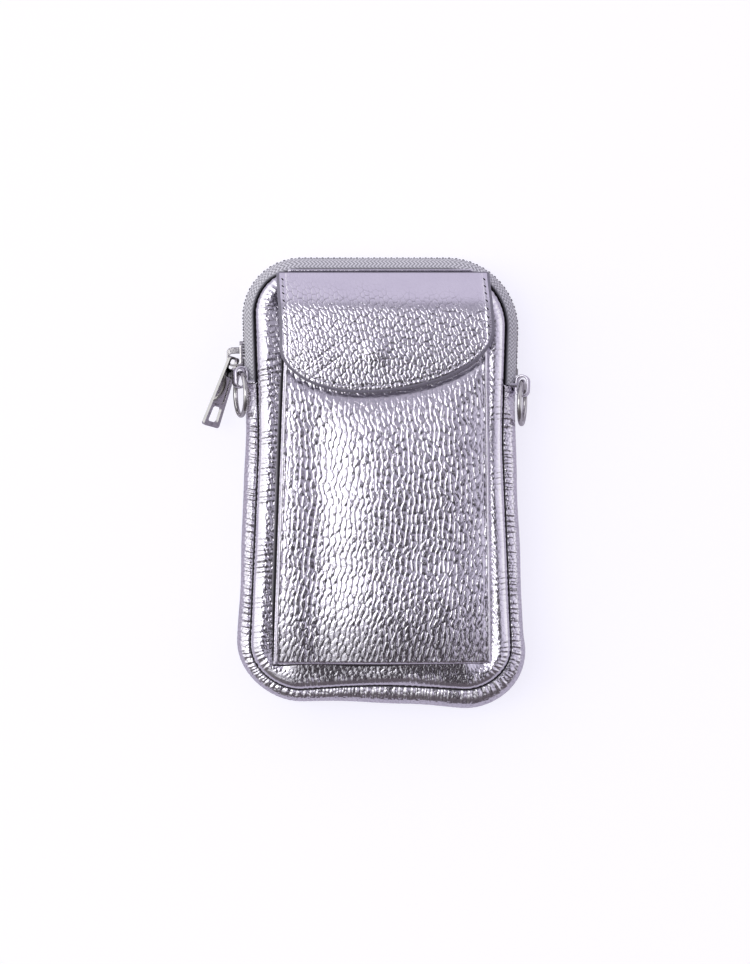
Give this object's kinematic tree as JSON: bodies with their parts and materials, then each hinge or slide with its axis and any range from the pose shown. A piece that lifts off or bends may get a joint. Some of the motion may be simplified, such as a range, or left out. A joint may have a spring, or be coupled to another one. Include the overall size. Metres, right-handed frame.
{
  "type": "phone pouch",
  "caption": "Slim upright phone pouch in silver leather, with a curved zip over the top, a flap pocket on its front and a strap ring on each side.",
  "frame": {"origin": "centre of the back panel's resting face", "axes": "+X across the pouch to the right seen from its front, +Y towards its top, +Z out of its front; it lies on its back"},
  "size_m": [0.1316, 0.1795, 0.0382],
  "materials": {
    "silver_leather": "pebbled, metallic silver foil",
    "zip_tape": "herringbone weave",
    "zip_coil": "nylon coil",
    "nickel": "polished nickel plate",
    "lining_cloth": "plain weave polyester",
    "magnet_steel": "plated magnet"
  },
  "bodies": {
    "pouch": {"front_panel": "silver_leather", "back_panel": "silver_leather", "gusset": "silver_leather", "lining_front": "lining_cloth", "lining_back": "lining_cloth", "lining_gusset": "lining_cloth", "zip_tape_front": "zip_tape", "zip_tape_back": "zip_tape", "zip_coil_front": "zip_coil", "zip_coil_back": "zip_coil", "zip_top_stops": "nickel", "zip_bottom_stop": "nickel", "ring_tab_left": "silver_leather", "ring_tab_right": "silver_leather", "pocket_panel": "silver_leather", "pocket_magnet": "magnet_steel", "magnet_patch": "lining_cloth"},
    "flap": {"flap_outer": "silver_leather", "flap_lining": "lining_cloth", "flap_magnet": "magnet_steel"},
    "slider": {"slider_body": "nickel", "slider_bridge": "nickel"},
    "pull": {"zip_pull": "nickel"},
    "left_ring": {"ring_left": "nickel"},
    "right_ring": {"ring_right": "nickel"}
  },
  "joints": [
    {"name": "flap_hinge", "type": "hinge", "parent": "pouch", "child": "flap", "pos_m": [0, 0.08281, 0.03107], "axis": [-1, 0, 0], "range_deg": [0, 170]},
    {"name": "zip_slide", "type": "slide", "parent": "pouch", "child": "slider", "axis": [-0.0298, 0.9996, 0], "range_m": [0, 0.0125], "deforming": ["zip_coil_front", "zip_coil_back"]},
    {"name": "pull_swing", "type": "hinge", "parent": "slider", "child": "pull", "pos_m": [-0.05889, 0.0497, 0.01425], "axis": [0, 0, -1], "range_deg": [0, 95]},
    {"name": "left_ring_swing", "type": "hinge", "parent": "pouch", "child": "left_ring", "pos_m": [-0.05596, 0.04338, 0.02095], "axis": [-0.3089, -0.0092, -0.9511], "range_deg": [0, 10]},
    {"name": "right_ring_swing", "type": "hinge", "parent": "pouch", "child": "right_ring", "pos_m": [0.05673, 0.04006, 0.01925], "axis": [-0.2078, 0.0062, 0.9781], "range_deg": [0, 160]}
  ]
}
